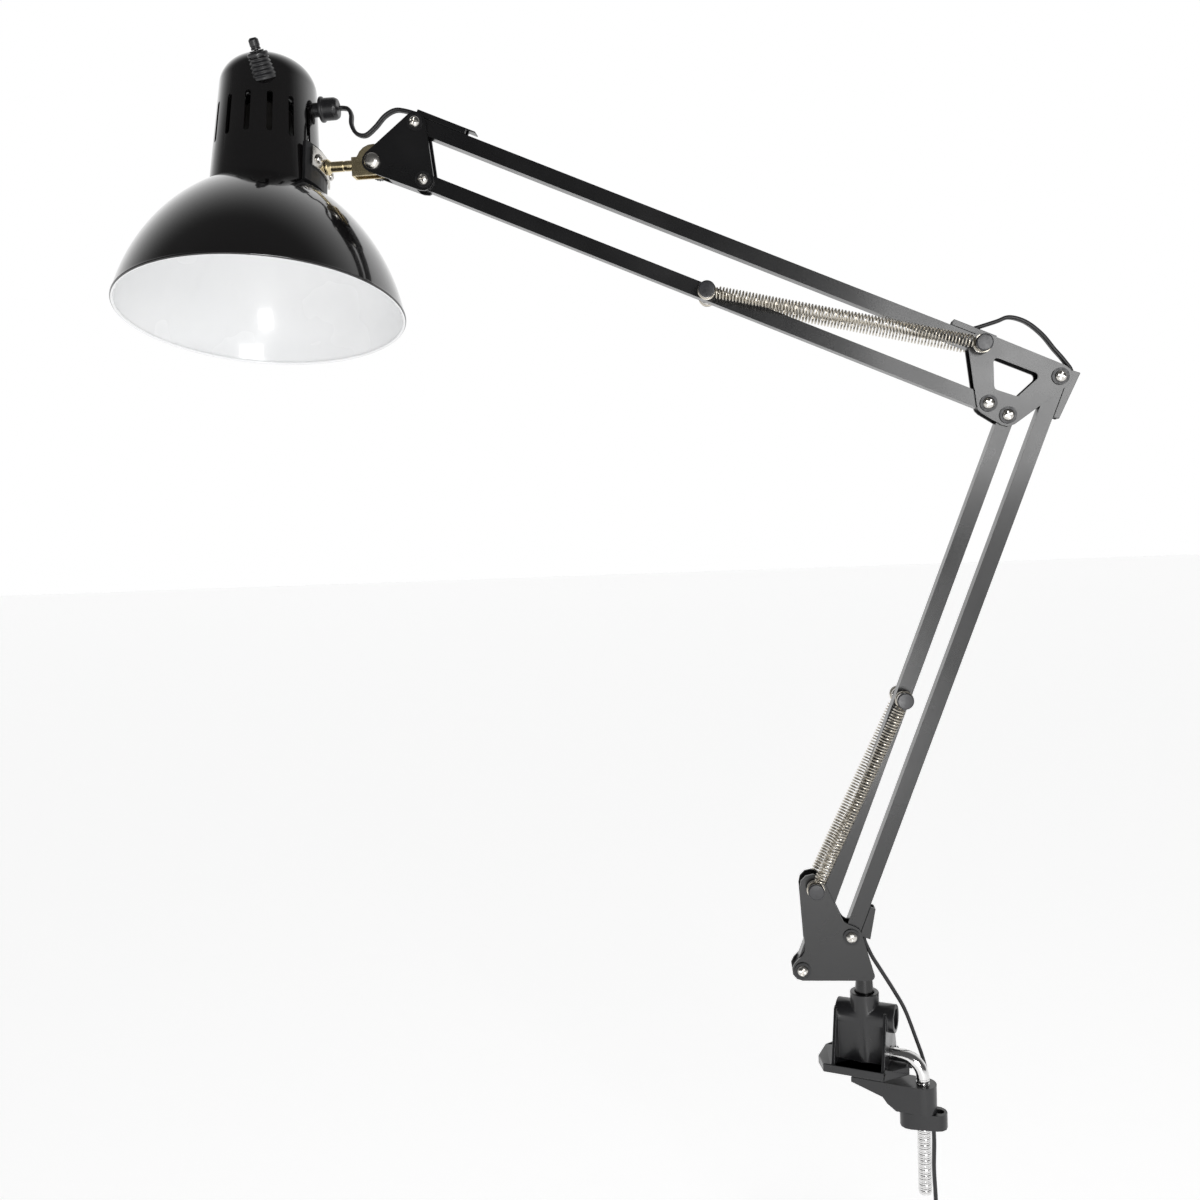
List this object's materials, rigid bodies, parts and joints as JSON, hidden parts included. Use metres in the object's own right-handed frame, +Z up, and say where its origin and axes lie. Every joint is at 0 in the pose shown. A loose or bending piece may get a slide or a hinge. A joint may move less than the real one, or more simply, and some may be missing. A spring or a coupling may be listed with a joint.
{
  "type": "architect desk lamp",
  "caption": "Clamp-on desk lamp with two spring-balanced parallel-bar arms and a tilting bowl shade with a vented switch housing.",
  "frame": {"origin": "centre of the clamp plate's underside, on the swivel stem's axis", "axes": "+Z up along the swivel stem, arms in the XZ plane with the head towards -X, -Z out of the plate's underside"},
  "size_m": [0.5964, 0.1771, 0.8899],
  "materials": {
    "black_paint": "gloss",
    "chrome": "polished",
    "nickel": "bright nickel",
    "brass": "satin",
    "black_plastic": "gloss",
    "dark_plastic": "matte",
    "cord_jacket": "satin"
  },
  "bodies": {
    "clamp": {"clamp_body": "black_paint", "clamp_rod": "chrome", "mains_cord_b": "cord_jacket", "cord_hank": "cord_jacket", "hank_tie": "dark_plastic", "plug": "black_plastic"},
    "jaw": {"lower_jaw": "black_paint"},
    "tightening_nut": {"wing_nut": "black_plastic"},
    "base": {"swivel_stem": "black_paint", "base_bracket": "black_paint", "base_left_screw": "nickel", "base_right_screw": "nickel", "base_spring_stud_front": "nickel", "base_spring_stud_back": "nickel", "mains_cord_a": "cord_jacket"},
    "lower_arm_right": {"lower_arm_right_bar": "black_paint", "base_cord_clip": "black_paint", "elbow_cord_clip_lower": "black_paint", "lower_arm_cord": "cord_jacket"},
    "lower_arm_left": {"lower_arm_left_bar": "black_paint", "lower_spring_post": "nickel", "lower_spring_front": "nickel", "lower_spring_back": "nickel"},
    "elbow": {"elbow_bracket": "black_paint", "elbow_spring_post": "nickel", "elbow_right_screw": "nickel", "elbow_low_screw": "nickel", "elbow_left_screw": "nickel", "elbow_cord_a": "cord_jacket", "elbow_cord_b": "cord_jacket"},
    "upper_arm_top": {"upper_arm_upper_bar": "black_paint", "head_cord_clip": "black_paint", "elbow_cord_clip_upper": "black_paint", "upper_arm_cord": "cord_jacket"},
    "upper_arm_low": {"upper_arm_lower_bar": "black_paint", "upper_spring_post": "nickel", "upper_spring_front": "nickel", "upper_spring_back": "nickel"},
    "head_yoke": {"head_bracket": "black_paint", "head_top_screw": "nickel", "head_low_screw": "nickel", "tilt_screw": "nickel", "tilt_nut": "dark_plastic"},
    "fork": {"tilt_fork": "brass", "head_cord_b": "cord_jacket"},
    "head": {"head_shaft": "brass", "saddle_plate": "nickel", "saddle_pad": "black_plastic", "saddle_screw_front": "nickel", "saddle_screw_back": "nickel", "shade": "black_paint", "switch_housing": "black_paint", "switch_body": "black_plastic", "switch_nut": "black_plastic", "cord_bushing": "dark_plastic", "socket_body": "dark_plastic", "screw_shell": "brass", "head_cord_a": "cord_jacket"},
    "switch": {"switch_knob": "black_plastic"}
  },
  "joints": [
    {"name": "base_swivel", "type": "hinge", "parent": "clamp", "child": "base", "pos_m": [0, 0, 0.049], "axis": [0, 0, 1], "range_deg": [-150, 150], "deforming": ["mains_cord_b"]},
    {"name": "lower_arm_swing", "type": "hinge", "parent": "base", "child": "lower_arm_right", "pos_m": [-0.008, 0, 0.087], "axis": [0, 1, 0], "range_deg": [-55, 16], "deforming": ["mains_cord_a"]},
    {"name": "lower_arm_left_swing", "type": "hinge", "parent": "base", "child": "lower_arm_left", "pos_m": [-0.0393, 0, 0.0651], "axis": [0, 1, 0], "range_deg": [-55, 16], "deforming": ["lower_spring_front", "lower_spring_back"]},
    {"name": "elbow_level", "type": "hinge", "parent": "lower_arm_right", "child": "elbow", "pos_m": [0.12567, 0, 0.43522], "axis": [0, 1, 0], "range_deg": [-16, 55], "deforming": ["elbow_cord_b"]},
    {"name": "upper_arm_swing", "type": "hinge", "parent": "elbow", "child": "upper_arm_top", "pos_m": [0.07917, 0, 0.45682], "axis": [0, 1, 0], "range_deg": [-49, 40], "deforming": ["elbow_cord_a"]},
    {"name": "upper_arm_low_swing", "type": "hinge", "parent": "elbow", "child": "upper_arm_low", "pos_m": [0.08287, 0, 0.42102], "axis": [0, 1, 0], "range_deg": [-49, 40], "deforming": ["upper_spring_front", "upper_spring_back"]},
    {"name": "head_level", "type": "hinge", "parent": "upper_arm_top", "child": "head_yoke", "pos_m": [-0.26661, 0, 0.61441], "axis": [0, 1, 0], "range_deg": [-40, 49]},
    {"name": "head_tilt", "type": "hinge", "parent": "head_yoke", "child": "fork", "pos_m": [-0.29541, 0, 0.59241], "axis": [0, 1, 0], "range_deg": [-25, 55], "deforming": ["head_cord_b"]},
    {"name": "head_roll", "type": "hinge", "parent": "fork", "child": "head", "pos_m": [-0.36761, 0, 0.59241], "axis": [1, 0, 0], "range_deg": [-60, 60], "deforming": ["head_cord_a"]},
    {"name": "switch_turn", "type": "hinge", "parent": "head", "child": "switch", "pos_m": [-0.36061, -0.02114, 0.65644], "axis": [-0.1196, -0.4365, 0.8917], "range_deg": [0, 90]},
    {"name": "jaw_slide", "type": "slide", "parent": "clamp", "child": "jaw", "axis": [0, 0, 1], "range_m": [-0.04, 0.005]},
    {"name": "nut_spin", "type": "hinge", "parent": "jaw", "child": "tightening_nut", "pos_m": [0.03383, -0.01231, -0.0288], "axis": [0, 0, 1], "range_deg": [-360, 360]}
  ],
  "couplings": [
    {"joint": "lower_arm_left_swing", "follows": "lower_arm_swing", "ratio": 1},
    {"joint": "elbow_level", "follows": "lower_arm_swing", "ratio": -1},
    {"joint": "upper_arm_low_swing", "follows": "upper_arm_swing", "ratio": 1},
    {"joint": "head_level", "follows": "upper_arm_swing", "ratio": -1}
  ]
}
